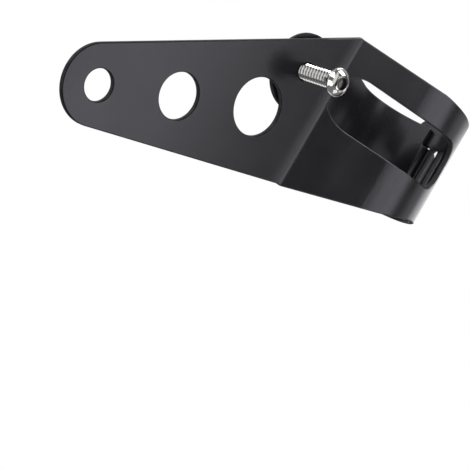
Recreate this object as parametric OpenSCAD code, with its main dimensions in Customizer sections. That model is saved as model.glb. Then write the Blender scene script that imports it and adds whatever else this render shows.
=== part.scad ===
// Headlight mounting bracket: a folded sheet ear with three lamp holes and a window strap,
// a hooked back strap that closes the loop round a fork tube, a welded nut and the clamp screw.
// The fork tube's axis is the Z axis, and the clamp screw's axis lies at Z = 0.
// The ear points along -X, and its front face and the screw's head look along -Y.
// All sizes are in millimetres.

/* [Fork clamp] */
// fork tube diameter that the closed loop is bent for
fork_d = 39; // [35:0.5:43]
// play between the back strap and the front strap where they nest
nest_gap = 0.1; // [0.05:0.05:0.3]
// thickness of both sheets
sheet_t = 2; // [1.5:0.1:2.5]
// angle of the front strap forward of the ear's plane
strap_angle = 20; // [12:1:28]
// flat length of the front strap from the bend to where it starts to curve
strap_flat = 39.6; // [36:0.2:46]
// radius on the hollow side of the bend between ear and strap
ear_bend_r = 5; // [2:0.5:8]

/* [Front strap outline] */
// height of the top edge at the bend, above the screw
bend_top = 22.9; // [20:0.1:26]
// depth of the bottom edge at the bend, below the screw
bend_bottom = 38.3; // [34:0.1:42]
// height of the top edge where the strap starts to curve
flat_top = 23.7; // [21:0.1:26]
// depth of the bottom edge where the strap starts to curve
flat_bottom = 27.1; // [24:0.1:30]
// height of both edges where the curve turns away
turn_half = 22.3; // [19.5:0.1:24]
// height of both edges on the back of the loop
back_half = 21.3; // [18:0.1:23]
// angle round the curve where the edges come to the first of these heights
turn_at = 40; // [34:1:48]
// angle round the curve where they come to the second
level_at = 62; // [56:1:70]
// corner radius at the strap's free end
end_corner = 5; // [2:0.5:8]

/* [Window] */
// height of the window's top edge
window_top = 11.3; // [9:0.1:14]
// depth of the window's bottom edge
window_bottom = 9.1; // [7.5:0.1:11]
// distance from the bend to the window's left end
window_start = 0.3; // [0.2:0.1:4]
// angle round the curve at which the window ends
window_turn = 50; // [40:1:62]
// distance from the bend to where the window's left corners begin
window_corner_x = 11.8; // [9:0.1:12.5]
// radius of the window's upper left corner
window_top_r = 13; // [12.5:0.5:16]
// radius of the window's lower left corner
window_bottom_r = 16.5; // [12.5:0.5:18]
// corner radius at the window's right end
window_end_corner = 7.5; // [4:0.5:8]

/* [Hook slots] */
// number of hook slots in the strap's free end
slot_count = 3; // [1:1:3]
// width of a hook slot
slot_w = 3.4; // [3:0.1:3.8]
// length of a hook slot
slot_len = 20.5; // [14:0.5:24]
// distance between hook slots along the strap
slot_pitch = 5; // [4.8:0.1:6]
// angle round the curve of the slot nearest the window
slot_turn = 90; // [84:1:96]
// sheet left between the last slot and the free end
slot_margin = 7; // [4:0.5:10]

/* [Lamp holes] */
// diameter of the outer lamp hole
hole_small_d = 11; // [8:0.1:13]
// diameter of the middle lamp hole
hole_middle_d = 16.4; // [12:0.1:18]
// diameter of the inner lamp hole
hole_large_d = 21; // [16:0.1:23]
// distance from the bend to the inner hole's centre
hole_large_x = 27; // [25:0.1:30]
// depth of the inner hole's centre below the screw
hole_large_z = 20.5; // [19:0.1:23]
// distance from the inner hole to the middle hole
middle_pitch = 34.8; // [30:0.1:38]
// distance from the inner hole to the outer hole
small_pitch = 67.6; // [58:0.1:76]
// slope of the line of holes
hole_slope = 22.8; // [16:0.1:27]
// radius of the ear's rounded end
ear_end_r = 14; // [11:0.1:17]

/* [Back strap] */
// half width of the back strap round the tube
back_strap_half = 17.3; // [15:0.1:19]
// radius of the rounded tab under the screw
tab_r = 14.4; // [11:0.1:16]
// distance from the screw to the centre of the tab's round, towards the tube
tab_offset = 2.4; // [0:0.1:4]
// open gap between the ear and the tab before the screw is drawn up
tab_gap = 1.5; // [1:0.1:4]
// flat length of the tab from the centre of its round to its bend
tab_flat = 13.6; // [12:0.1:16]
// radius on the hollow side of the tab's bend
tab_bend_r = 4; // [2:0.5:8]
// radius on the hollow side of the hook's bend
hook_bend_r = 0.5; // [0.4:0.1:0.6]
// play between the hook and its slot at each end
hook_play = 0.6; // [0.3:0.1:1]
// length of the hook that stands out behind the loop
hook_out = 4.5; // [3:0.1:7]

/* [Clamp screw] */
// distance from the bend to the screw
screw_x = 15.9; // [15:0.1:18]
// thread diameter of the screw
screw_d = 6; // [5:0.5:6]
// length of the screw under its head
screw_len = 30; // [26:1:36]
// length of the screw that stands out in front of the ear
screw_out = 16.8; // [0.5:0.1:17]
// diameter of the screw's head
head_d = 10.5; // [9:0.1:12]
// height of the screw's head
head_h = 3.3; // [2.8:0.1:4]
// width across flats of the hexagon socket
socket_af = 4; // [3:0.1:4.5]
// depth of the hexagon socket
socket_depth = 2; // [1.6:0.1:2.3]
// play between the screw and the holes in both sheets
hole_play = 0.6; // [0.4:0.1:0.8]
// width across flats of the nut
nut_af = 10; // [9:0.1:12]
// thickness of the nut
nut_h = 5; // [4:0.1:6]
// play between the screw and the nut
thread_play = 0.1; // [0.05:0.05:0.2]

/* [Hidden] */
$fn = 96;
cut = 1;
far = 200;
// where two lengths of one sheet join, the flat one runs this far into the curved one
lap = 0.02;
// and each of its faces lies this far inside the curved one's
seam = 0.004;
// the strap is drawn this many degrees past its free end, which its outline then cuts
spare_turn = 5;
black = [0.16, 0.16, 0.17];
steel = [0.72, 0.73, 0.75];

// loop radii from the fork axis
tube_r = fork_d / 2;
strap_in_r = tube_r + sheet_t + nest_gap;
strap_out_r = strap_in_r + sheet_t;

// bend line between ear and strap, on the front faces
bend_x = -(strap_flat * cos(strap_angle) + strap_out_r * sin(strap_angle));
ear_y = -(strap_out_r * cos(strap_angle) - strap_flat * sin(strap_angle));
bend_tan = ear_bend_r * tan(strap_angle / 2);
flat_dir = -90 - strap_angle;

// slots are spaced on the middle of the sheet
slot_step = slot_pitch / (strap_in_r + sheet_t / 2) * 180 / PI;
hook_turn = slot_turn + (slot_count - 1) * slot_step;
end_turn = hook_turn + (slot_w / 2 + slot_margin) / strap_out_r * 180 / PI;

// lamp holes, measured from the bend and the screw
hole_large = [bend_x - hole_large_x, -hole_large_z];
hole_middle = hole_large - middle_pitch * [cos(hole_slope), sin(hole_slope)];
hole_small = hole_large - small_pitch * [cos(hole_slope), sin(hole_slope)];

// clamp screw and tab
screw_cx = bend_x - screw_x;
tab_y = ear_y + sheet_t + tab_gap;
tab_cx = screw_cx + tab_offset;
tab_end = tab_cx + tab_flat;
run_dist = norm([tab_end, tab_y]);
run_dir = asin(tube_r / run_dist) + atan2(-tab_y, -tab_end);
run_len = sqrt(run_dist * run_dist - tube_r * tube_r);
tab_tan = (tab_bend_r + sheet_t) * tan(run_dir / 2);
taper_point = [tab_flat + run_len, back_strap_half];
taper = atan2(taper_point[1], taper_point[0]) - asin(tab_r / norm(taper_point));

// hook of the back strap, through the last slot
hook_dir = flat_dir + hook_turn;
hook_bend_c = tube_r + sheet_t + hook_bend_r;
hook_lean = asin((sheet_t / 2 + hook_bend_r) / hook_bend_c);
hook_start = hook_bend_c * cos(hook_lean);
hook_tip = strap_out_r + hook_out;
hook_half = slot_len / 2 - hook_play;
// corner radius of the hook's tongue
hook_corner = 2;

// height of a line tangent to the tab's round, at a distance along the back strap
function taper_z(s) = back_strap_half - (tab_flat + run_len - s) * tan(taper);

// points where the tangents from a point touch a circle; side is 1 or -1
function touch(p, c, r, side) =
    let(d = c - p, a = atan2(d[1], d[0]), b = acos(r / norm(d)))
    c + r * [cos(a + 180 + side * b), sin(a + 180 + side * b)];

// wall of a tube between two angles, about the Z axis
module arc_wall(r_in, r_out, a0, a1, z0, z1) {
    reach = 2 * r_out;
    intersection() {
        translate([0, 0, z0]) difference() {
            cylinder(r = r_out, h = z1 - z0, $fn = 180);
            translate([0, 0, -cut]) cylinder(r = r_in, h = z1 - z0 + 2 * cut, $fn = 180);
        }
        translate([0, 0, z0 - cut]) linear_extrude(z1 - z0 + 2 * cut)
            polygon([[0, 0], for (k = [0:4]) let(a = a0 + (a1 - a0) * k / 4) reach * [cos(a), sin(a)]]);
    }
}

// turns a drawing of (distance along the sheet, height) into a prism that runs out along an angle
module side_prism(dir, r0, r1) {
    rotate([0, 0, dir + 90]) translate([0, -r0, 0]) rotate([90, 0, 0]) linear_extrude(r1 - r0) children();
}

// rectangle with two round corners on its right
module right_round(x0, x1, z0, z1, r) {
    translate([x0, z0]) square([x1 - r - x0, z1 - z0]);
    translate([x0, z0 + r]) square([x1 - x0, z1 - z0 - 2 * r]);
    for (z = [z0 + r, z1 - r]) translate([x1 - r, z]) circle(r = r);
}

module ear() {
    top = [bend_x - bend_tan, bend_top - seam];
    bottom = [bend_x - bend_tan, seam - bend_bottom];
    touch_top = touch(top, hole_small, ear_end_r - seam, 1);
    touch_bottom = touch(bottom, hole_small, ear_end_r - seam, -1);
    translate([0, ear_y + sheet_t - seam, 0]) rotate([90, 0, 0]) linear_extrude(sheet_t - 2 * seam) {
        polygon([
            top, touch_top, hole_small, touch_bottom, bottom,
            bottom + [lap, 0], top + [lap, 0]
        ]);
        translate(hole_small) circle(r = ear_end_r);
    }
}

// outline of the strap from the front: distance from the start of the curve, and height
module strap_outline() {
    curve_x = 0.5;
    turn_x = strap_out_r * sin(turn_at);
    level_x = strap_out_r * sin(level_at);
    left = bend_tan - strap_flat;
    polygon([
        [left - lap, bend_top - seam], [left, bend_top - seam], [curve_x, flat_top], [turn_x, turn_half],
        [level_x, back_half - seam], [far, back_half - seam], [far, seam - back_half],
        [level_x, seam - back_half], [turn_x, -turn_half], [curve_x, -flat_bottom],
        [left, seam - bend_bottom], [left - lap, seam - bend_bottom]
    ]);
}

module strap() {
    left = bend_tan - strap_flat;
    intersection() {
        union() {
            rotate([0, 0, flat_dir]) translate([strap_in_r + seam, left - 2 * lap, -far / 2])
                cube([sheet_t - 2 * seam, 3 * lap - left, far]);
            arc_wall(strap_in_r, strap_out_r, flat_dir, flat_dir + end_turn + spare_turn, -far / 2, far / 2);
        }
        union() {
            side_prism(flat_dir, -cut, far) strap_outline();
            side_prism(flat_dir + end_turn, cut, far)
                right_round(-strap_out_r, 0, -back_half, back_half, end_corner);
        }
    }
}

module ear_bend() {
    translate([bend_x - bend_tan, ear_y - ear_bend_r, 0])
        arc_wall(ear_bend_r, ear_bend_r + sheet_t, 90 - strap_angle, 90, -bend_bottom, bend_top);
}

// all that lies inside a round corner of the window, whose arc ends on an edge at this depth
module inside_corner(x, depth, r) {
    translate([x, r - depth]) circle(r = r);
    translate([x, -far]) square(2 * far);
    translate([x - far, r - depth]) square([far + cut, far]);
}

module window() {
    left = -strap_flat + window_start;
    corner_x = -strap_flat + window_corner_x;
    // the two parts of the cut overlap by this much, in millimetres and in degrees
    into_turn = 4;
    side_prism(flat_dir, strap_in_r - cut, strap_out_r + cut) intersection() {
        translate([left, -window_bottom]) square([into_turn - left, window_top + window_bottom]);
        inside_corner(corner_x, window_bottom, window_bottom_r);
        mirror([0, 1]) inside_corner(corner_x, window_top, window_top_r);
    }
    side_prism(flat_dir + window_turn, strap_in_r / 2, strap_out_r + cut)
        right_round(-strap_in_r * sin(window_turn - into_turn), 0, -window_bottom - seam,
            window_top + seam, window_end_corner);
}

module hook_slot(turn) {
    w = slot_w / 2;
    side_prism(flat_dir + turn, strap_in_r - cut, strap_out_r + cut) {
        translate([-w, -slot_len / 2 + w]) square([slot_w, slot_len - slot_w]);
        for (z = [-1, 1]) translate([0, z * (slot_len / 2 - w)]) circle(r = w);
    }
}

module drill(pos, d) {
    translate([pos[0], ear_y + sheet_t + cut, pos[1]]) rotate([90, 0, 0])
        cylinder(d = d, h = sheet_t + 2 * cut);
}

module bracket() {
    color(black) difference() {
        union() {
            ear();
            ear_bend();
            strap();
        }
        window();
        for (i = [0:slot_count - 1]) hook_slot(slot_turn + i * slot_step);
        drill(hole_small, hole_small_d);
        drill(hole_middle, hole_middle_d);
        drill(hole_large, hole_large_d);
        drill([screw_cx, 0], screw_d + hole_play);
    }
}

// flat tab with its round end
module tab() {
    right = tab_flat - tab_tan + lap;
    t = (tab_r - seam) * [sin(taper), cos(taper)];
    z = taper_z(right) - seam;
    translate([tab_cx, tab_y + sheet_t - seam, 0]) rotate([90, 0, 0]) linear_extrude(sheet_t - 2 * seam) {
        circle(r = tab_r);
        polygon([[-t[0], t[1]], [right, z], [right, -z], [-t[0], -t[1]]]);
    }
}

module tab_bend() {
    r_out = tab_bend_r + sheet_t;
    z = taper_z(tab_flat);
    translate([tab_end - tab_tan, tab_y + r_out, 0])
        arc_wall(tab_bend_r, r_out, -90, -90 + run_dir, -z, z);
}

// straight run from the tab's bend to the tube
module back_run() {
    x = run_len - tab_tan + lap;
    z0 = back_strap_half - seam;
    z1 = taper_z(tab_flat + run_len - x) - seam;
    side_prism(run_dir + 90, tube_r + seam, tube_r + sheet_t - seam)
        polygon([[-lap, z0], [x, z1], [x, -z1], [-lap, -z0]]);
}

// hook of the back strap: a tight bend outwards and a flat tongue
module hook() {
    start = hook_dir + hook_lean;
    turn = lap / hook_bend_r * 180 / PI;
    translate(hook_bend_c * [cos(start), sin(start), 0])
        arc_wall(hook_bend_r + seam, hook_bend_r + sheet_t - seam, start - 180 - turn, hook_dir - 90,
            -hook_half, hook_half);
    rotate([0, 0, hook_dir]) translate([0, sheet_t / 2 - 2 * seam, 0]) rotate([90, 0, 0])
        linear_extrude(sheet_t - 4 * seam)
            right_round(hook_start - lap, hook_tip, seam - hook_half, hook_half - seam, hook_corner);
}

module back_strap() {
    color(black) difference() {
        union() {
            tab();
            tab_bend();
            back_run();
            arc_wall(tube_r, tube_r + sheet_t, hook_dir + hook_lean, run_dir + 90,
                -back_strap_half, back_strap_half);
            hook();
        }
        translate([screw_cx, tab_y + sheet_t + cut, 0]) rotate([90, 0, 0])
            cylinder(d = screw_d + hole_play, h = sheet_t + 2 * cut);
    }
}

module weld_nut() {
    color(steel) translate([screw_cx, tab_y + sheet_t, 0]) rotate([-90, 0, 0]) difference() {
        intersection() {
            cylinder(d = nut_af / cos(30), h = nut_h, $fn = 6);
            cylinder(d1 = nut_af + 2 * nut_h, d2 = nut_af, h = nut_h);
        }
        translate([0, 0, -cut]) cylinder(d = screw_d + thread_play, h = nut_h + 2 * cut);
    }
}

// button head screw, head towards -Y
module clamp_screw() {
    dome_r = (head_d * head_d / 4 + head_h * head_h) / (2 * head_h);
    // length of the tapered tip
    tip = 1;
    color(steel) translate([screw_cx, ear_y - screw_out, 0]) rotate([-90, 0, 0]) {
        difference() {
            intersection() {
                translate([0, 0, -head_h]) cylinder(d = head_d, h = head_h);
                translate([0, 0, dome_r - head_h]) sphere(r = dome_r);
            }
            translate([0, 0, -head_h - cut])
                cylinder(d = socket_af / cos(30), h = socket_depth + cut, $fn = 6);
        }
        cylinder(d = screw_d, h = screw_len - tip);
        translate([0, 0, screw_len - tip]) cylinder(d1 = screw_d, d2 = screw_d - 2 * tip, h = tip);
    }
}

bracket();
back_strap();
weld_nut();
clamp_screw();
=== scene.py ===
from math import acos, asin, atan2, ceil, cos, degrees, hypot, pi, radians, sin, sqrt, tan

import bmesh
import bpy
import numpy as np
from mathutils import Matrix, Vector
from mathutils.geometry import delaunay_2d_cdt


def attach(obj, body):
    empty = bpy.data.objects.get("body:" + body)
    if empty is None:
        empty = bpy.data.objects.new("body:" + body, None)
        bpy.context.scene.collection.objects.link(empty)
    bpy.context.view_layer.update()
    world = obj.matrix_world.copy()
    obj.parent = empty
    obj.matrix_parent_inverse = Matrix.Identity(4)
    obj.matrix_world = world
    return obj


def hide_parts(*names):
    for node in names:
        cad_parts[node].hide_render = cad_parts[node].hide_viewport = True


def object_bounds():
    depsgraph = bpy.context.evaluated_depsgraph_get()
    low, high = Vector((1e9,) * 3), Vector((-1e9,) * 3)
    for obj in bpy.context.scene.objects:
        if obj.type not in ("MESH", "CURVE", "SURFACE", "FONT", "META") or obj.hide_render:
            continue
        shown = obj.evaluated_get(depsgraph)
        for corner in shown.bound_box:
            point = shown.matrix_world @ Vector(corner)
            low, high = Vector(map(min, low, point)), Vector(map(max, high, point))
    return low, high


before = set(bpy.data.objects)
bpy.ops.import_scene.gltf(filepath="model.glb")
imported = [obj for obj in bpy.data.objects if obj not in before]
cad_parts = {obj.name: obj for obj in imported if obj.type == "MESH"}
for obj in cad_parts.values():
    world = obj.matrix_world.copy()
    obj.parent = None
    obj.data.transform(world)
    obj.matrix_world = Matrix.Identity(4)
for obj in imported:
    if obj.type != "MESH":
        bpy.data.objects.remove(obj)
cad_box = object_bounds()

MM = 0.001

# sizes of part.scad, in millimetres and degrees
SHEET_T = 2.0
TUBE_R = 19.5
STRAP_IN_R = TUBE_R + SHEET_T + 0.1
STRAP_OUT_R = STRAP_IN_R + SHEET_T
STRAP_ANGLE = 20.0
STRAP_FLAT = 39.6
EAR_BEND_R = 5.0
BEND_TOP, BEND_BOTTOM = 22.9, 38.3
FLAT_TOP, FLAT_BOTTOM = 23.7, 27.1
TURN_HALF, BACK_HALF = 22.3, 21.3
END_CORNER = 5.0
WINDOW_TOP, WINDOW_BOTTOM = 11.3, 9.1
WINDOW_START, WINDOW_TURN = 0.3, 50.0
WINDOW_CORNER_X, WINDOW_TOP_R, WINDOW_BOTTOM_R, WINDOW_END_CORNER = 11.8, 13.0, 16.5, 7.5
SLOT_COUNT, SLOT_W, SLOT_LEN, SLOT_PITCH = 3, 3.4, 20.5, 5.0
SLOT_TURN, SLOT_MARGIN = 90.0, 7.0
HOLE_SMALL_D, HOLE_MIDDLE_D, HOLE_LARGE_D = 11.0, 16.4, 21.0
HOLE_LARGE_X, HOLE_LARGE_Z = 27.0, 20.5
MIDDLE_PITCH, SMALL_PITCH, HOLE_SLOPE = 34.8, 67.6, 22.8
EAR_END_R = 14.0
BACK_STRAP_HALF = 17.3
TAB_R, TAB_OFFSET, TAB_GAP, TAB_FLAT, TAB_BEND_R = 14.4, 2.4, 1.5, 13.6, 4.0
HOOK_BEND_R, HOOK_PLAY, HOOK_OUT, HOOK_CORNER = 0.5, 0.6, 4.5, 2.0
SCREW_X, SCREW_D, SCREW_LEN, SCREW_OUT = 15.9, 6.0, 30.0, 16.8
HEAD_D, HEAD_H, SOCKET_AF, SOCKET_DEPTH = 10.5, 3.3, 4.0, 2.0
HOLE_PLAY = 0.6
SCREW_TIP = 1.0

# derived sizes, as in part.scad
BEND_X = -(STRAP_FLAT * cos(radians(STRAP_ANGLE)) + STRAP_OUT_R * sin(radians(STRAP_ANGLE)))
EAR_Y = -(STRAP_OUT_R * cos(radians(STRAP_ANGLE)) - STRAP_FLAT * sin(radians(STRAP_ANGLE)))
BEND_TAN = EAR_BEND_R * tan(radians(STRAP_ANGLE / 2))
FLAT_DIR = -90 - STRAP_ANGLE
SLOT_STEP = degrees(SLOT_PITCH / (STRAP_IN_R + SHEET_T / 2))
HOOK_TURN = SLOT_TURN + (SLOT_COUNT - 1) * SLOT_STEP
END_TURN = HOOK_TURN + degrees((SLOT_W / 2 + SLOT_MARGIN) / STRAP_OUT_R)
SCREW_CX = BEND_X - SCREW_X
SCREW_HOLE_D = SCREW_D + HOLE_PLAY
TAB_Y = EAR_Y + SHEET_T + TAB_GAP
TAB_CX = SCREW_CX + TAB_OFFSET
TAB_END = TAB_CX + TAB_FLAT
RUN_DIST = hypot(TAB_END, TAB_Y)
RUN_DIR = degrees(asin(TUBE_R / RUN_DIST) + atan2(-TAB_Y, -TAB_END))
RUN_LEN = sqrt(RUN_DIST * RUN_DIST - TUBE_R * TUBE_R)
TAB_TAN = (TAB_BEND_R + SHEET_T) * tan(radians(RUN_DIR / 2))
HOOK_DIR = FLAT_DIR + HOOK_TURN
HOOK_BEND_C = TUBE_R + SHEET_T + HOOK_BEND_R
HOOK_LEAN = degrees(asin((SHEET_T / 2 + HOOK_BEND_R) / HOOK_BEND_C))
HOOK_HALF = SLOT_LEN / 2 - HOOK_PLAY

# rounded edges of the sheets, and the steps of their outlines
EDGE_R = 0.42
EDGE_STEPS = 3
SIDE_STEP = 0.9

# columns and rows of points inside the outlines, and how far they keep from them
COLUMN_GAP, COLUMN_TURN = 3.5, 3.0
ROW_START, ROW_GAP = 1.3, 2.4
RIM_CLEAR = 0.75

# points nearer than NEAR are one, triangles of less area than SLIVER are dropped, and a turn of fewer
# radians than NO_TURN is none
NEAR = 1e-6
SLIVER = 1e-5
NO_TURN = 1e-9


def link_object(name, data):
    obj = bpy.data.objects.new(name, data)
    bpy.context.scene.collection.objects.link(obj)
    return obj


# folded sheets

def value_at(table, place):
    """Value at a place of a table of (place, value) pairs."""
    places, values = zip(*table)
    return float(np.interp(place, places, values))


def walk(x, y, heading, length, turn, s):
    """Place and heading after s along a length that turns by turn in all. Before its start it is straight."""
    if abs(turn) < NO_TURN or s < 0:
        return x + s * cos(heading), y + s * sin(heading), heading
    r = length / turn
    now = heading + s / r
    return x + r * (sin(now) - sin(heading)), y - r * (cos(now) - cos(heading)), now


class Fold:
    """One face of a folded sheet, seen along Z: lengths of (length, turn in degrees), the first along +X.
    p is the distance along the face. side is 1 where the face looks to the right of its way, and -1 where it
    looks to the left. lean and bow are tables over p for the gloss."""

    def __init__(self, start, first_p, side, lengths, lean, bow=((0, 0), (1, 0))):
        self.side = side
        self.lean = lean
        self.bow = bow
        self.parts = []
        x, y = start
        heading, p = 0.0, first_p
        for length, turn in lengths:
            self.parts.append((p, length, x, y, heading, radians(turn)))
            x, y, heading = walk(x, y, heading, length, radians(turn), length)
            p += length

    def part_at(self, p):
        for part in self.parts:
            if p <= part[0] + part[1]:
                return part
        return self.parts[-1]

    def at(self, p):
        """Point, tangent and outward normal of the face at p."""
        first, length, x, y, heading, turn = self.part_at(p)
        x, y, heading = walk(x, y, heading, length, turn, p - first)
        along, across = cos(heading), sin(heading)
        return (x, y), (along, across), (self.side * across, -self.side * along)

    def gloss(self, p, normal, z):
        """The normal turned by the sheet's slight unevenness, which only the gloss shows: lean in degrees
        round Z, and bow in degrees upwards for each millimetre of height."""
        lean = radians(value_at(self.lean, p))
        up = radians(z * value_at(self.bow, p))
        x = normal[0] * cos(lean) - normal[1] * sin(lean)
        y = normal[0] * sin(lean) + normal[1] * cos(lean)
        return Vector((x, y, tan(up))).normalized()

    def stretch(self, p, depth):
        """Length on the surface at a depth below the face for one unit of p."""
        first, length, x, y, heading, turn = self.part_at(p)
        return 1 - self.side * depth * turn / length

    def columns(self, low, high):
        """Places between low and high for columns of points: close on bends, wide on flats."""
        places = []
        for first, length, x, y, heading, turn in self.parts:
            steps = max(1, ceil(length / COLUMN_GAP), ceil(abs(degrees(turn)) / COLUMN_TURN))
            places += [first + length * k / steps for k in range(steps)]
        return [p for p in places if low < p < high]


def arc_points(cx, cz, r, first, last, step=5.0):
    """Points along an arc from one bearing to another, its ends included."""
    n = max(2, ceil(abs(last - first) / step))
    turns = [radians(first + (last - first) * k / n) for k in range(n + 1)]
    return [(cx + r * cos(a), cz + r * sin(a)) for a in turns]


def circle_points(cx, cz, r, n):
    return [(cx + r * cos(2 * pi * k / n), cz + r * sin(2 * pi * k / n)) for k in range(n)]


def side_steps(a, b):
    """How many steps the side from a to b takes: none between doubled points."""
    gap = hypot(b[0] - a[0], b[1] - a[1])
    return ceil(gap / SIDE_STEP) if gap >= NEAR else 0


def side_points(a, b, steps):
    """Points from a towards b, without b."""
    return [(a[0] + (b[0] - a[0]) * j / steps, a[1] + (b[1] - a[1]) * j / steps) for j in range(steps)]


def split_line(points):
    """An open line with points added to its long sides."""
    sides = zip(points, points[1:])
    return [q for a, b in sides for q in side_points(a, b, side_steps(a, b))] + [points[-1]]


def split_loops(*loops):
    """Closed loops of as many points each, with points added to the long sides of the first, and alike to the
    others."""
    split = [[] for loop in loops]
    n = len(loops[0])
    for k in range(n):
        steps = side_steps(loops[0][k], loops[0][(k + 1) % n])
        for made, loop in zip(split, loops):
            made += side_points(loop[k], loop[(k + 1) % n], steps)
    return split


def round_corner(before, corner, after, r, step=15.0):
    """Points along an arc of radius r in a corner."""
    to_before = (Vector(before) - corner).normalized()
    to_after = (Vector(after) - corner).normalized()
    half = to_before.angle(to_after) / 2
    reach = r / tan(half)
    centre = corner + (to_before + to_after).normalized() * (r / sin(half))
    start = corner + to_before * reach - centre
    end = corner + to_after * reach - centre
    first = atan2(start.y, start.x)
    turn = (atan2(end.y, end.x) - first + pi) % (2 * pi) - pi
    n = max(2, ceil(abs(degrees(turn)) / step))
    turns = [first + turn * k / n for k in range(n + 1)]
    return [(centre.x + r * cos(a), centre.y + r * sin(a)) for a in turns]


def round_corners(loop, radii):
    """Rounds each corner of a closed loop by its own radius; 0 leaves it."""
    rounded = []
    for k, r in enumerate(radii):
        corner = Vector(loop[k])
        after = loop[(k + 1) % len(loop)]
        rounded += round_corner(loop[k - 1], corner, after, r) if r > 0 else [tuple(corner)]
    return rounded


def area(loop):
    """Area of a closed loop, below 0 where it turns clockwise."""
    return sum(loop[k - 1][0] * loop[k][1] - loop[k][0] * loop[k - 1][1] for k in range(len(loop))) / 2


def inside(points, loops):
    """Even-odd test of an array of points against closed loops."""
    hit = np.zeros(len(points), bool)
    x, y = points[:, 0], points[:, 1]
    for loop in loops:
        for (x0, y0), (x1, y1) in zip(loop, loop[1:] + loop[:1]):
            if y0 != y1:
                crossed = (y0 > y) != (y1 > y)
                hit ^= crossed & (x < (x1 - x0) * (y - y0) / (y1 - y0) + x0)
    return hit


class SheetMesh:
    """A folded sheet with rounded edges, in millimetres. Its outlines are closed loops of (p, z)."""

    def __init__(self, fold):
        self.fold = fold
        self.sides = ((0.0, 1), (SHEET_T, -1))
        self.rims = ([], [])
        self.verts = []
        self.normals = []
        self.wear = []
        self.faces = []

    def add(self, place, normal, wear):
        self.verts.append(place)
        self.normals.append(normal)
        self.wear.append(wear)
        return len(self.verts) - 1

    def place(self, p, depth, z):
        """Point at a depth below the face, with the tangent and outward normal there."""
        (x, y), tangent, normal = self.fold.at(p)
        point = Vector((x - depth * normal[0], y - depth * normal[1], z))
        return point, Vector((*tangent, 0)), Vector((*normal, 0))

    def edge_rows(self, loop, side, way):
        """Rows of points along one rounded edge, from the flat side to the wall. way is 1 where the sheet
        lies inside the loop and -1 where it lies outside."""
        depth, sign = self.sides[side]
        outwards = self.fold.side * way * (1 if area(loop) > 0 else -1)
        corners = [self.place(p, depth, z) for p, z in loop]
        rows = [[] for step in range(EDGE_STEPS + 1)]
        flat = []
        for i, (p, z) in enumerate(loop):
            corner, tangent, normal = corners[i]
            along = corners[(i + 1) % len(loop)][0] - corners[i - 1][0]
            out = along.cross(normal).normalized() * outwards
            gloss = self.fold.gloss(p, normal, z) * sign
            for j, row in enumerate(rows):
                a = pi / 2 * j / EDGE_STEPS
                back, down = EDGE_R * (1 - sin(a)), EDGE_R * (1 - cos(a))
                shine = (gloss * cos(a) + out * sin(a)).normalized()
                row.append(self.add(corner - out * back - normal * (sign * down), shine, sin(a)))
            scale = self.fold.stretch(p, depth)
            flat.append((p - EDGE_R * out.dot(tangent) / scale, z - EDGE_R * out.z))
        self.rims[side].append((flat, rows[0]))
        return rows

    def add_edge(self, pair, way):
        """The rounded edges of an outline on both sides, and the wall between them."""
        rows = self.edge_rows(pair[0], 0, way) + self.edge_rows(pair[1], 1, way)[::-1]
        for one, two in zip(rows, rows[1:]):
            n = len(one)
            self.faces += [(one[i], one[(i + 1) % n], two[(i + 1) % n], two[i]) for i in range(n)]

    def grid(self, flats, rim):
        """Points (p, z, column, row) inside the outlines and clear of them."""
        p_low, z_low = rim.min(axis=0)
        p_high, z_high = rim.max(axis=0)
        rows = range(int((z_high - z_low) / ROW_GAP))
        grid = [(p, z_low + ROW_START + ROW_GAP * row, column, row)
                for column, p in enumerate(self.fold.columns(p_low, p_high)) for row in rows]
        hits = inside(np.array([point[:2] for point in grid]), flats)
        return [point for point, hit in zip(grid, hits)
                if hit and ((rim - point[:2]) ** 2).sum(axis=1).min() > RIM_CLEAR ** 2]

    def fill(self, side):
        """Fills a side with triangles between its outlines."""
        depth, sign = self.sides[side]
        points, index, edges, seen = [], [], [], {}
        for flat, ring in self.rims[side]:
            first = len(points)
            points += flat
            index += ring
            edges += [(first + i, first + (i + 1) % len(flat)) for i in range(len(flat))]
        flats = [flat for flat, ring in self.rims[side]]
        for p, z, column, row in self.grid(flats, np.array(points)):
            place, tangent, normal = self.place(p, depth, z)
            seen[column, row] = len(points)
            if (column, row - 1) in seen:
                edges.append((seen[column, row - 1], len(points)))
            points.append((p, z))
            index.append(self.add(place, self.fold.gloss(p, normal, z) * sign, 0.0))
        # kind 0 fills the whole hull, so the triangles in openings and outside are left out below
        made = delaunay_2d_cdt([Vector(point) for point in points], edges, [], 0, NEAR)
        corners, triangles, sources = made[0], made[2], made[3]
        middles = np.array([[sum(corners[i][c] for i in tri) / 3 for c in (0, 1)] for tri in triangles])
        for tri, use in zip(triangles, inside(middles, flats)):
            if use and abs(area([corners[i] for i in tri])) > SLIVER:
                self.faces.append(tuple(index[sources[i][0]] for i in tri))

    def outward(self, face):
        """The face with its front to the side that its points' normals show."""
        a, b, c = (self.verts[i] for i in face[:3])
        front = (b - a).cross(c - a)
        if len(face) == 4:
            front = (c - a).cross(self.verts[face[3]] - b)
        shown = sum((self.normals[i] for i in face), Vector())
        return face if front.dot(shown) > 0 else face[::-1]

    def build(self, name):
        mesh = bpy.data.meshes.new(name)
        mesh.from_pydata([v * MM for v in self.verts], [], [self.outward(face) for face in self.faces])
        for poly in mesh.polygons:
            poly.use_smooth = True
        mesh.attributes.new("edge_wear", "FLOAT", "POINT").data.foreach_set("value", self.wear)
        mesh.normals_split_custom_set_from_vertices([tuple(n) for n in self.normals])
        return link_object(name, mesh)


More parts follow.
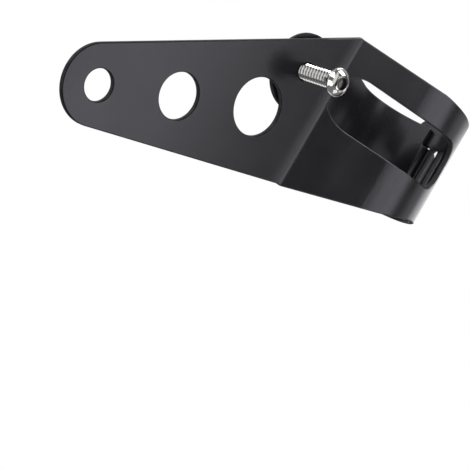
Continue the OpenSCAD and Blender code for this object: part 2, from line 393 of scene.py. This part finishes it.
def sheet(name, fold, outlines):
    """A folded sheet. Each outline is a pair of loops, on the face and on the back. The first outline is the
    outside and the others are openings."""
    made = SheetMesh(fold)
    for k, pair in enumerate(outlines):
        made.add_edge(pair, 1 if k == 0 else -1)
    for side in (0, 1):
        made.fill(side)
    return made.build(name)


def round_hole(centre, d, sides=72):
    loop = circle_points(*centre, d / 2, sides)
    return loop, loop


# main bracket: p is 0 where the front strap starts to curve

BEND_LEN = EAR_BEND_R * radians(STRAP_ANGLE)
FLAT_LEFT = BEND_TAN - STRAP_FLAT
BEND_START = FLAT_LEFT - BEND_LEN
EAR_LEN = 110.0
END_P = STRAP_OUT_R * radians(END_TURN)
PAST_END = 1.0

# the strap narrows from the flat's end to these two turns round the curve
FLAT_END_X = 0.5
TURN_AT, LEVEL_AT = 40.0, 62.0

# columns where the gloss turns: before the bend, and round the pressed line across the flat
LEAN_IN = 5.0
PRESS_PLACES = (-12.0, -7.6, -7.3, -4.0, 0.0)

# the gloss's tables of (p, value), set by trial to follow the photo's bands of light
BRACKET_LEAN = ((BEND_START - LEAN_IN, 0), (BEND_START, -5), (FLAT_LEFT, 0), (-34, -1), (-22, 1), (-12, -3),
                (-8.5, -2.5), (-7.6, -1), (-7.3, 1.5), (-4, 4), (-1, 6), (3, 1), (8, 0))
BRACKET_BOW = ((BEND_START, 0), (FLAT_LEFT, 0.12), (-6, 0.12), (4, 0), (12, -0.05), (24, 0))


def bracket_fold():
    ear = [(EAR_LEN - LEAN_IN, 0), (LEAN_IN / 2, 0), (LEAN_IN / 2, 0)]
    flat = [(PRESS_PLACES[0] - FLAT_LEFT, 0)] + [(b - a, 0) for a, b in zip(PRESS_PLACES, PRESS_PLACES[1:])]
    curve = (END_P + PAST_END, degrees((END_P + PAST_END) / STRAP_OUT_R))
    return Fold((BEND_X - BEND_TAN - EAR_LEN, EAR_Y), BEND_START - EAR_LEN, 1,
                ear + [(BEND_LEN, -STRAP_ANGLE)] + flat + [curve], BRACKET_LEAN, BRACKET_BOW)


def ear_p(x):
    """p on the ear at a place along X."""
    return BEND_START + x - (BEND_X - BEND_TAN)


def curve_p(x, turn, depth):
    """p of a cut across the curve, at x beside the direction that lies at turn."""
    return STRAP_OUT_R * (radians(turn) + asin(x / (STRAP_OUT_R - depth)))


def front_p(x, depth):
    """p of a cut across the flat, at x from where the curve starts."""
    if x < FLAT_LEFT:
        return FLAT_LEFT - EAR_BEND_R * asin((FLAT_LEFT - x) / (EAR_BEND_R + depth))
    return x if x <= 0 else curve_p(x, 0, depth)


def ear_hole(pitch):
    """Centre of the ear's hole at a pitch from the large one."""
    slope = radians(HOLE_SLOPE)
    return ear_p(BEND_X - HOLE_LARGE_X) - pitch * cos(slope), -HOLE_LARGE_Z - pitch * sin(slope)


def touch(p, centre, r, side):
    """Bearing on a circle of the place where a line from p touches it, for the side 1 or -1."""
    x, y = centre[0] - p[0], centre[1] - p[1]
    return degrees(atan2(y, x)) + 180 + side * degrees(acos(r / hypot(x, y)))


def bracket_outline(depth):
    top, bottom = (BEND_START, BEND_TOP), (BEND_START, -BEND_BOTTOM)
    ear_end = ear_hole(SMALL_PITCH)
    first, last = touch(top, ear_end, EAR_END_R, 1), touch(bottom, ear_end, EAR_END_R, -1)
    while last < first:
        last += 360
    turn_x, level_x = STRAP_OUT_R * sin(radians(TURN_AT)), STRAP_OUT_R * sin(radians(LEVEL_AT))
    lower = split_line([(FLAT_LEFT, -BEND_BOTTOM), (FLAT_END_X, -FLAT_BOTTOM), (turn_x, -TURN_HALF),
                        (level_x, -BACK_HALF)])
    upper = split_line([(level_x, BACK_HALF), (turn_x, TURN_HALF), (FLAT_END_X, FLAT_TOP),
                        (FLAT_LEFT, BEND_TOP)])
    corners = arc_points(-END_CORNER, -BACK_HALF + END_CORNER, END_CORNER, -90, 0, step=6)
    corners += arc_points(-END_CORNER, BACK_HALF - END_CORNER, END_CORNER, 0, 90, step=6)
    loop = arc_points(*ear_end, EAR_END_R, first, last, step=4) + [bottom]
    loop += [(front_p(x, depth), z) for x, z in lower]
    loop += [(curve_p(x, END_TURN, depth), z) for x, z in corners]
    loop += [(front_p(x, depth), z) for x, z in upper]
    return loop + [top]


def window_outline(depth):
    left, corner = WINDOW_START - STRAP_FLAT, WINDOW_CORNER_X - STRAP_FLAT
    high = 180 - degrees(acos((corner - left) / WINDOW_TOP_R))
    low = 180 + degrees(acos((corner - left) / WINDOW_BOTTOM_R))
    start = arc_points(corner, WINDOW_TOP - WINDOW_TOP_R, WINDOW_TOP_R, 90, high, step=4)
    start += arc_points(corner, WINDOW_BOTTOM_R - WINDOW_BOTTOM, WINDOW_BOTTOM_R, low, 270, step=4)
    r = WINDOW_END_CORNER
    end = arc_points(-r, -WINDOW_BOTTOM + r, r, -90, 0) + arc_points(-r, WINDOW_TOP - r, r, 0, 90)
    return [(front_p(x, depth), z) for x, z in start] + [(curve_p(x, WINDOW_TURN, depth), z) for x, z in end]


def slot_outline(turn, depth):
    r = SLOT_W / 2
    reach = SLOT_LEN / 2 - r
    points = arc_points(0, reach, r, 0, 180, step=12) + arc_points(0, -reach, r, 180, 360, step=12)
    return [(curve_p(x, turn, depth), z) for x, z in points]


def both(outline, *args):
    """An outline on the face and on the back."""
    return split_loops(outline(*args, 0.0), outline(*args, SHEET_T))


def main_bracket():
    outlines = [both(bracket_outline), both(window_outline)]
    outlines += [both(slot_outline, SLOT_TURN + i * SLOT_STEP) for i in range(SLOT_COUNT)]
    outlines += [round_hole(ear_hole(0), HOLE_LARGE_D, sides=96),
                 round_hole(ear_hole(MIDDLE_PITCH), HOLE_MIDDLE_D),
                 round_hole(ear_hole(SMALL_PITCH), HOLE_SMALL_D),
                 round_hole((ear_p(SCREW_CX), 0), SCREW_HOLE_D, sides=48)]
    return sheet("main_bracket", bracket_fold(), outlines)


# back strap: p is 0 at the middle of its tab

TAB_LEN = 40.0
TAB_BEND_START = TAB_FLAT - TAB_TAN
TAB_BEND_END = TAB_BEND_START + TAB_BEND_R * radians(RUN_DIR)
RUN_END = TAB_BEND_END + RUN_LEN - TAB_TAN
ARC_TURN = RUN_DIR + 90 - HOOK_DIR - HOOK_LEAN
ARC_END = RUN_END + (TUBE_R + SHEET_T) * radians(ARC_TURN)
HOOK_BEND_END = ARC_END + HOOK_BEND_R * radians(90 - HOOK_LEAN)
TIP_P = HOOK_BEND_END + STRAP_OUT_R + HOOK_OUT - HOOK_BEND_C * cos(radians(HOOK_LEAN))
SHOULDER_R, HOOK_ROOT_R = 1.2, 0.45

# the gloss leans along the run, and straightens within LEAN_OUT of the arc
RUN_LEAN = -20
LEAN_OUT = 14.0


def strap_fold():
    lengths = [(TAB_LEN, 0), (TAB_BEND_END - TAB_BEND_START, RUN_DIR), (RUN_END - TAB_BEND_END, 0),
               (ARC_END - RUN_END, -ARC_TURN), (HOOK_BEND_END - ARC_END, 90 - HOOK_LEAN),
               (TIP_P - HOOK_BEND_END, 0)]
    lean = ((TAB_BEND_START, 0), (TAB_BEND_END, RUN_LEAN), (RUN_END, RUN_LEAN), (RUN_END + LEAN_OUT, 0))
    start = (TAB_CX + TAB_BEND_START - TAB_LEN, TAB_Y + SHEET_T)
    return Fold(start, TAB_BEND_START - TAB_LEN, -1, lengths, lean)


def strap_outline():
    full_at = TAB_FLAT + RUN_LEN
    taper = degrees(atan2(BACK_STRAP_HALF, full_at) - asin(TAB_R / hypot(full_at, BACK_STRAP_HALF)))

    def taper_z(s):
        return BACK_STRAP_HALF - (full_at - s) * tan(radians(taper))

    upper = [(TIP_P, HOOK_HALF), (ARC_END, HOOK_HALF), (ARC_END, BACK_STRAP_HALF), (RUN_END, BACK_STRAP_HALF),
             (TAB_BEND_END, taper_z(TAB_FLAT + TAB_TAN)), (TAB_BEND_START, taper_z(TAB_FLAT - TAB_TAN))]
    radii = [HOOK_CORNER, HOOK_ROOT_R, SHOULDER_R, 0, 0, 0]
    lower = [(p, -z) for p, z in upper[::-1]]
    tab = arc_points(0, 0, TAB_R, 90 + taper, 270 - taper, step=4)
    loop, = split_loops(round_corners(tab + lower + upper, [0] * len(tab) + radii[::-1] + radii))
    return loop, loop


def rear_strap():
    outlines = [strap_outline(), round_hole((-TAB_OFFSET, 0), SCREW_HOLE_D, sides=48)]
    return sheet("rear_strap", strap_fold(), outlines)


# clamp screw, along local Z: the head lies below 0 and the thread above it

# points in a ring, the gap under which points are joined, and the degrees from which an edge stays sharp
SIDES = 72
WELD = 1e-4
SHARP = 38.0

# the profile is the thread's height over one pitch, and the thread rises to it from THREAD_FROM on
THREAD_PITCH = 1.5
THREAD_DEPTH = 0.8
THREAD_PROFILE = (0.0, 0.15, 0.45, 0.75, 1.0, 1.0, 0.75, 0.45, 0.15, 0.0)
THREAD_FROM, THREAD_RISE = 0.35, 0.8

# rounded rim of the head, as (distance in from its full radius, height)
HEAD_RIM = ((0.45, 0.0), (0.3, -0.03), (0.14, -0.14), (0.1, -0.32), (0.17, -0.55))
DOME_STEPS = 12
DOME_IN_R = 2.95

# mouth of the socket, as (width in socket widths, depth below the dome), the height where its wall starts,
# and the drilled cone in its floor
SOCKET_MOUTH = ((1.10, 0.0), (1.04, 0.05))
SOCKET_WALL_Z = -2.68
CONE_R, CONE_RIM, CONE_TIP = 1.2, 0.1, 0.55


class RoundMesh:
    """Points and faces of a turned piece, with SIDES points in each ring."""

    def __init__(self):
        self.verts = []
        self.faces = []

    def add(self, r, a, z):
        self.verts.append((r * cos(a), r * sin(a), z))
        return len(self.verts) - 1

    def ring(self, radius, z):
        """A ring. Its radius may be a function of the bearing, and its height a function of the radius."""
        turns = [2 * pi * i / SIDES for i in range(SIDES)]
        radii = [radius(a) if callable(radius) else radius for a in turns]
        return [self.add(r, a, z(r) if callable(z) else z) for r, a in zip(radii, turns)]

    def bridge(self, one, two):
        for i in range(SIDES):
            j = (i + 1) % SIDES
            self.faces.append((one[i], one[j], two[j], two[i]))

    def cap(self, ring, z):
        middle = self.add(0, 0, z)
        self.faces += [(ring[i], ring[(i + 1) % SIDES], middle) for i in range(SIDES)]


def add_thread(mesh):
    """The thread as one helix, each row of points climbing by one pitch in a turn, and the flat tip."""
    crest, rows_per_turn = SCREW_D / 2, len(THREAD_PROFILE)
    rows = []
    for j in range(int((SCREW_LEN / THREAD_PITCH + 2) * rows_per_turn) + 1):
        row = []
        for i in range(SIDES):
            z = min(max(THREAD_PITCH * (j / rows_per_turn - 1 + i / SIDES), 0.0), SCREW_LEN)
            lift = THREAD_PROFILE[j % rows_per_turn] * min(1.0, max(0.0, (z - THREAD_FROM) / THREAD_RISE))
            r = min(crest - THREAD_DEPTH * (1 - lift), crest - SCREW_TIP + (SCREW_LEN - z))
            row.append(mesh.add(r, 2 * pi * i / SIDES, z))
        rows.append(row)
    for j, (one, two) in enumerate(zip(rows, rows[1:])):
        mesh.faces += [(one[i], one[i + 1], two[i + 1], two[i]) for i in range(SIDES - 1)]
        after = j + rows_per_turn
        if after + 1 < len(rows):
            mesh.faces.append((one[-1], rows[after][0], rows[after + 1][0], two[-1]))
    mesh.cap(mesh.ring(crest - SCREW_TIP, SCREW_LEN), SCREW_LEN)


def add_head(mesh):
    """The button head, from the thread's root over the rim and the dome to the socket's floor."""
    full_r = HEAD_D / 2
    floor_z = SOCKET_DEPTH - HEAD_H
    dome_r = (HEAD_D * HEAD_D / 4 + HEAD_H * HEAD_H) / (2 * HEAD_H)

    def dome_z(r):
        return dome_r - HEAD_H - sqrt(dome_r * dome_r - r * r)

    def hexagon(grow):
        return lambda a: grow * SOCKET_AF / 2 / cos((a % (pi / 3)) - pi / 6)

    rings = [mesh.ring(SCREW_D / 2 - THREAD_DEPTH, 0.0)]
    rings += [mesh.ring(full_r - inset, z) for inset, z in HEAD_RIM]
    dome_out_r = full_r - HEAD_RIM[-1][0]
    for k in range(1, DOME_STEPS + 1):
        rings.append(mesh.ring(dome_out_r - (dome_out_r - DOME_IN_R) * k / DOME_STEPS, dome_z))
    for grow, sunk in SOCKET_MOUTH:
        rings.append(mesh.ring(hexagon(grow), lambda r: dome_z(r) + sunk))
    rings += [mesh.ring(hexagon(1.0), SOCKET_WALL_Z), mesh.ring(hexagon(1.0), floor_z)]
    rings.append(mesh.ring(CONE_R, floor_z + CONE_RIM))
    for one, two in zip(rings, rings[1:]):
        mesh.bridge(one, two)
    mesh.cap(rings[-1], floor_z + CONE_TIP)


def solid_object(name, made, matrix):
    """An object of a RoundMesh, with doubled points joined and sharp edges kept."""
    bm = bmesh.new()
    verts = [bm.verts.new(v) for v in made.verts]
    for face in made.faces:
        bm.faces.new([verts[i] for i in face])
    bmesh.ops.remove_doubles(bm, verts=bm.verts, dist=WELD)
    bmesh.ops.dissolve_degenerate(bm, dist=WELD, edges=bm.edges)
    loose = [v for v in bm.verts if not v.link_faces]
    bmesh.ops.delete(bm, geom=loose, context="VERTS")
    bmesh.ops.recalc_face_normals(bm, faces=bm.faces)
    for face in bm.faces:
        face.smooth = True
    for edge in bm.edges:
        edge.smooth = len(edge.link_faces) == 2 and edge.calc_face_angle() < radians(SHARP)
    bm.transform(matrix)
    mesh = bpy.data.meshes.new(name)
    bm.to_mesh(mesh)
    bm.free()
    return link_object(name, mesh)


def button_head_screw():
    made = RoundMesh()
    add_thread(made)
    add_head(made)
    place = Matrix.Translation((SCREW_CX, EAR_Y - SCREW_OUT, 0)) @ Matrix.Rotation(radians(-90), 4, "X")
    return solid_object("button_head_screw", made, Matrix.Scale(MM, 4) @ place)


bracket = main_bracket()
back_strap = rear_strap()
screw = button_head_screw()


# materials: colours are (red, green, blue, 1), and the scales of the noises are for metres

class Graph:
    """Adds shader nodes to a material or a world."""

    def __init__(self, tree):
        self.nodes = tree.nodes
        self.links = tree.links

    def feed(self, socket, value):
        """Gives a socket a fixed value or the output of another node."""
        if isinstance(value, (int, float, tuple)):
            socket.default_value = value
        else:
            self.links.new(value, socket)

    def node(self, kind, *inputs, operation=None):
        """A new node with its first inputs fed."""
        made = self.nodes.new(kind)
        if operation:
            made.operation = operation
        for socket, value in zip(made.inputs, inputs):
            self.feed(socket, value)
        return made

    def coordinates(self, kind):
        return self.node("ShaderNodeTexCoord").outputs[kind]

    def axes(self, vector):
        return self.node("ShaderNodeSeparateXYZ", vector).outputs

    def math(self, operation, a, b):
        return self.node("ShaderNodeMath", a, b, operation=operation).outputs["Value"]

    def noise(self, coord, scale, detail, rough=0.5):
        """A noise between 0 and 1."""
        made = self.node("ShaderNodeTexNoise")
        for key, value in (("Vector", coord), ("Scale", scale), ("Detail", detail), ("Roughness", rough)):
            self.feed(made.inputs[key], value)
        return made.outputs["Fac"]

    def span(self, value, from_low, from_high, to_low=0.0, to_high=1.0):
        """The value moved from one span to another, and held at its ends."""
        return self.node("ShaderNodeMapRange", value, from_low, from_high, to_low, to_high).outputs["Result"]

    def mix(self, share, a, b):
        """Colour a, changed to b by a share."""
        made = self.nodes.new("ShaderNodeMix")
        made.data_type = "RGBA"
        self.feed(made.inputs["Factor"], share)
        colours = [socket for socket in made.inputs if socket.type == "RGBA"]
        for socket, value in zip(colours, (a, b)):
            self.feed(socket, value)
        return [socket for socket in made.outputs if socket.type == "RGBA"][0]

    def bump(self, height, strength, distance):
        made = self.node("ShaderNodeBump")
        for key, value in (("Height", height), ("Strength", strength), ("Distance", distance)):
            self.feed(made.inputs[key], value)
        return made.outputs["Normal"]


def new_material(name):
    mat = bpy.data.materials.new(name)
    mat.use_nodes = True
    return mat, Graph(mat.node_tree), mat.node_tree.nodes["Principled BSDF"].inputs


COAT_DARK, COAT_LIGHT = (0.0080, 0.0080, 0.0089, 1), (0.0112, 0.0112, 0.0123, 1)
COAT_DUST, COAT_WORN = (0.16, 0.16, 0.165, 1), (0.06, 0.061, 0.065, 1)
COAT_GLOSS = (0.86, 0.85, 0.95, 1)
DUST_SHARE, WORN_SHARE, FINE_SHARE = 0.15, 0.35, 0.25
SATIN_LOW, SATIN_HIGH, WALL_MATT = 0.22, 0.28, 0.38
EAR_INNER_X, EAR_OUTER_X = -0.058, -0.061
PLAIN_SPECULAR, RIM_SPECULAR = 0.5, 0.06
PEEL_STRENGTH, PEEL_DEPTH = 0.35, 0.00006

# noises, as (scale, detail, roughness), and the parts of them that make tones, patches and specks
BROAD, PATCHY, DUST, PEEL, FINE = (45, 3), (260, 4, 0.65), (5200, 0), (900, 2), (2600, 1)
TONE_PART, PATCH_PART, SPECK_PART = (0.3, 0.7), (0.42, 0.68), (0.72, 0.80)

# parts of edge_wear: the cut wall, and the start and the end of the rounded rim beside it
WALL_PART, RIM_START, RIM_END = (0.88, 0.99), (0.05, 0.40), (0.86, 0.98)


def powder_coat():
    """Satin black powder coat: fine orange peel, a little dust, patchy wear on the edges, matt cut walls, and
    dark rims on the ear. edge_wear is 0 on the flats and 1 on the walls."""
    mat, graph, shader = new_material("black_powder_coat")
    coord = graph.coordinates("Object")
    edge = graph.node("ShaderNodeAttribute")
    edge.attribute_name = "edge_wear"
    edge = edge.outputs["Fac"]
    broad = graph.noise(coord, *BROAD)
    patches = graph.span(graph.noise(coord, *PATCHY), *PATCH_PART)
    worn = graph.math("MULTIPLY", graph.math("MULTIPLY", edge, patches), WORN_SHARE)
    tone = graph.mix(graph.span(broad, *TONE_PART), COAT_DARK, COAT_LIGHT)
    dust = graph.span(graph.noise(coord, *DUST), *SPECK_PART, 0.0, DUST_SHARE)
    tone = graph.mix(dust, tone, COAT_DUST)
    tone = graph.mix(worn, tone, COAT_WORN)
    rough = graph.math("ADD", graph.span(broad, *TONE_PART, SATIN_LOW, SATIN_HIGH),
                       graph.span(edge, *WALL_PART, 0.0, WALL_MATT))
    on_ear = graph.span(graph.axes(coord)["X"], EAR_OUTER_X, EAR_INNER_X, 1.0, 0.0)
    rim = graph.math("MULTIPLY", graph.span(edge, *RIM_START), graph.span(edge, *RIM_END, 1.0, 0.0))
    ear_rim = graph.math("MULTIPLY", on_ear, rim)
    peel = graph.math("ADD", graph.noise(coord, *PEEL),
                      graph.math("MULTIPLY", graph.noise(coord, *FINE), FINE_SHARE))
    graph.feed(shader["Base Color"], tone)
    graph.feed(shader["Roughness"], rough)
    graph.feed(shader["Specular Tint"], COAT_GLOSS)
    graph.feed(shader["Specular IOR Level"], graph.span(ear_rim, 0.0, 1.0, PLAIN_SPECULAR, RIM_SPECULAR))
    graph.feed(shader["Normal"], graph.bump(peel, PEEL_STRENGTH, PEEL_DEPTH))
    return mat


# the first colour is painted shade, near black in the thread roots; the second is the steel's own colour, and
# the third its duller patches
STEEL_ROOT_SHADE, STEEL_CREST, STEEL_DULL = (0.09, 0.088, 0.085, 1), (0.68, 0.675, 0.665, 1), (0.45, 0.44, 0.42, 1)
ROOT_R, CREST_R = 0.00225, 0.00275
DULL, DULL_PART, DULL_SHARE = (320, 3), (0.55, 0.8), 0.25
POLISH_LOW, POLISH_HIGH, ROOT_MATT = 0.07, 0.13, 0.2
RINGS, RING_STRENGTH, RING_DEPTH = (5200, 3, 0.7), 0.3, 0.00002


def screw_steel():
    """Bright plated steel: faint turning rings round the screw's axis, duller thread roots, and painted shade
    that darkens the thread roots.
    """
    mat, graph, shader = new_material("bright_steel")
    coord = graph.coordinates("Object")
    axis_at = (SCREW_CX * MM, 0, 0)
    centred = graph.node("ShaderNodeVectorMath", coord, axis_at, operation="SUBTRACT").outputs["Vector"]
    across = graph.node("ShaderNodeVectorMath", centred, (1, 0, 1), operation="MULTIPLY").outputs["Vector"]
    radius = graph.node("ShaderNodeVectorMath", across, operation="LENGTH").outputs["Value"]
    ring_at = graph.node("ShaderNodeCombineXYZ", radius).outputs["Vector"]
    dull = graph.noise(coord, *DULL)
    crest = graph.span(radius, ROOT_R, CREST_R)
    # painted shade: the thread roots darkened towards near black, the crests keep the steel's own colour
    tone = graph.mix(crest, STEEL_ROOT_SHADE, STEEL_CREST)
    tone = graph.mix(graph.span(dull, *DULL_PART, 0.0, DULL_SHARE), tone, STEEL_DULL)
    rough = graph.math("ADD", graph.span(dull, *TONE_PART, POLISH_LOW, POLISH_HIGH),
                       graph.span(crest, 0.0, 1.0, ROOT_MATT, 0.0))
    graph.feed(shader["Base Color"], tone)
    graph.feed(shader["Metallic"], 1.0)
    graph.feed(shader["Roughness"], rough)
    graph.feed(shader["Normal"], graph.bump(graph.noise(ring_at, *RINGS), RING_STRENGTH, RING_DEPTH))
    return mat


coat = powder_coat()
steel = screw_steel()
for piece, replaced, mat in ((bracket, "bracket", coat), (back_strap, "back_strap", coat),
                             (screw, "clamp_screw", steel)):
    piece.data.materials.append(mat)
    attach(piece, "root")
    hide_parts(replaced)
for nut_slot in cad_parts["weld_nut"].material_slots:
    nut_slot.material = coat


# studio: places are in metres, and a brightness of 1 is that of the white background

ROOM_LIGHT = 0.55

# what reflections see at each bearing, in degrees from +X
STUDIO_BEARINGS = ((-180, 0.2), (-132, 0.15), (-128, 0.9), (-108, 0.9), (-104, 0.03), (-88, 0.03),
                   (-62, 0.08), (-46, 0.10), (-30, 1.1), (-14, 0.6), (20, 0.4), (48, 0.9), (95, 0.9),
                   (100, 0.15), (150, 0.15), (180, 0.2))

# patches over that, as (brightness, soft cuts of the direction: axis, none of it here, all of it here)
LOW_BACK = (0.2, (("Z", -0.04, -0.10), ("Y", -0.3, -0.2)))
DARK_FRONT_TOP = (0.12, (("Z", 0.24, 0.32), ("Y", 0.15, 0.0), ("X", -0.25, -0.2)))
RIDGE_LIGHT = (12.0, (("Z", 0.78, 0.82), ("Y", -0.20, -0.26), ("X", 0.17, 0.21)))
UPPER_PANEL = (2.4, (("X", -0.58, -0.62), ("Z", 0.16, 0.20)))
LOWER_PANEL = (2.4, (("X", -0.58, -0.62), ("Z", -0.26, -0.30)))

# name, place, facing, size, brightness
LAMPS = (("key", (0.0975, -0.35, 0.04), (0, 1, 0), (0.105, 0.5), 2.6),
         ("key_side", (0.175, -0.35, 0.04), (0, 1, 0), (0.05, 0.5), 1.6),
         ("fill", (-0.05, -0.35, 0.17), (0, 1, 0), (0.08, 0.18), 1.0),
         ("kicker", (-0.22, -0.19, -0.225), (0.5, 0.5, 0.66), (0.2, 0.2), 2.0),
         ("under", (0.08, -0.14, -0.22), (-0.5, 0.39, 0.76), (0.15, 0.15), 1.0),
         ("overhead", (0.0, -0.15, 0.42), (-0.1, 0.25, -1), (0.25, 0.15), 4.0),
         ("rim", (0.69, 0.17, 0.06), (-0.97, -0.24, -0.05), (0.75, 0.20), 1.7))

FLOOR_Z = -0.24
FLOOR_RINGS = (0.02, 0.15, 0.3, 0.5)
FLOOR_SIDES = 96
FLOOR_GLOW = 0.40
FLOOR_TONE, FLOOR_REFLECTED = 0.88, 0.25
FLOOR_ROUGH, FLOOR_SPECULAR = 0.9, 0.1


def grey(brightness):
    return (brightness, brightness, brightness, 1)


def bearing_ramp(graph, axes):
    bearing = graph.math("ARCTAN2", axes["Y"], axes["X"])
    ramp = graph.node("ShaderNodeValToRGB", graph.span(bearing, -pi, pi))
    elements = ramp.color_ramp.elements
    while len(elements) < len(STUDIO_BEARINGS):
        elements.new(0.5)
    for element, (turn, brightness) in zip(elements, STUDIO_BEARINGS):
        element.position = (turn + 180) / 360
        element.color = grey(brightness)
    return ramp.outputs["Color"]


def studio_world():
    """White for the camera, plain room light for the coats' own colours, and for reflections a dim studio
    with bright patches."""
    world = bpy.data.worlds.new("studio")
    bpy.context.scene.world = world
    world.use_nodes = True
    graph = Graph(world.node_tree)
    axes = graph.axes(graph.coordinates("Generated"))
    reflected = bearing_ramp(graph, axes)
    for brightness, cuts in (LOW_BACK, DARK_FRONT_TOP, RIDGE_LIGHT, UPPER_PANEL, LOWER_PANEL):
        share = 1.0
        for axis, none_at, all_at in cuts:
            share = graph.math("MULTIPLY", share, graph.span(axes[axis], none_at, all_at))
        reflected = graph.mix(share, reflected, grey(brightness))
    path = graph.node("ShaderNodeLightPath").outputs
    clear = graph.math("MAXIMUM", path["Is Glossy Ray"], path["Is Transmission Ray"])
    plain = graph.mix(path["Is Camera Ray"], grey(ROOM_LIGHT), grey(1.0))
    graph.feed(world.node_tree.nodes["Background"].inputs["Color"], graph.mix(clear, plain, reflected))


def softbox(name, place, facing, size, brightness):
    data = bpy.data.lights.new(name, "AREA")
    data.shape = "RECTANGLE"
    data.size, data.size_y = size
    data.energy = brightness * pi * size[0] * size[1]
    lamp = link_object(name, data)
    lamp.location = place
    lamp.rotation_euler = Vector(facing).to_track_quat("-Z", "Y").to_euler()
    lamp.visible_camera = False


def floor_mesh():
    """A disc under the middle of the bracket, in rings."""
    x, y = [(low + high) / 2 for low, high in zip(*cad_box)][:2]
    turns = [2 * pi * i / FLOOR_SIDES for i in range(FLOOR_SIDES)]
    bm = bmesh.new()
    rings = [[bm.verts.new((x + r * cos(a), y + r * sin(a), FLOOR_Z)) for a in turns] for r in FLOOR_RINGS]
    bm.faces.new(rings[0])
    for one, two in zip(rings, rings[1:]):
        for i in range(FLOOR_SIDES):
            j = (i + 1) % FLOOR_SIDES
            bm.faces.new((one[i], two[i], two[j], one[j]))
    mesh = bpy.data.meshes.new("floor")
    bm.to_mesh(mesh)
    bm.free()
    return mesh


def floor_piece():
    """White floor that takes the shadow, glows a little for the camera, and is darker in reflections."""
    obj = link_object("floor", floor_mesh())
    mat, graph, shader = new_material("floor_white")
    path = graph.node("ShaderNodeLightPath").outputs
    tone = graph.mix(path["Is Glossy Ray"], grey(FLOOR_TONE), grey(FLOOR_REFLECTED))
    graph.feed(shader["Base Color"], tone)
    graph.feed(shader["Roughness"], FLOOR_ROUGH)
    graph.feed(shader["Specular IOR Level"], FLOOR_SPECULAR)
    graph.feed(shader["Emission Color"], grey(1.0))
    graph.feed(shader["Emission Strength"], graph.math("MULTIPLY", path["Is Camera Ray"], FLOOR_GLOW))
    obj.data.materials.append(mat)


studio_world()
for lamp_values in LAMPS:
    softbox(*lamp_values)
floor_piece()


# camera, fitted to the bracket in the photo: its place in millimetres, the bearing and the rise in degrees
# at which it stands seen from what it looks at, its roll, and its focal length in pixels of the photo
CAMERA_AT = (-441.870, -450.091, -109.478)
CAMERA_BEARING, CAMERA_RISE, CAMERA_ROLL = -131.4664, -4.5908, 30.0879
FOCAL_PX, IMAGE_PX, SENSOR = 1667.78, 470, 36.0


def photo_camera():
    data = bpy.data.cameras.new("camera")
    data.sensor_width = SENSOR
    data.sensor_fit = "HORIZONTAL"
    data.lens = FOCAL_PX / IMAGE_PX * SENSOR
    camera = link_object("camera", data)
    bearing = Matrix.Rotation(radians(CAMERA_BEARING + 90), 4, "Z")
    rise = Matrix.Rotation(radians(90 - CAMERA_RISE), 4, "X")
    roll = Matrix.Rotation(radians(CAMERA_ROLL), 4, "Z")
    camera.matrix_world = Matrix.Translation(Vector(CAMERA_AT) * MM) @ bearing @ rise @ roll
    bpy.context.scene.camera = camera


photo_camera()
bpy.context.scene.view_settings.view_transform = "Standard"
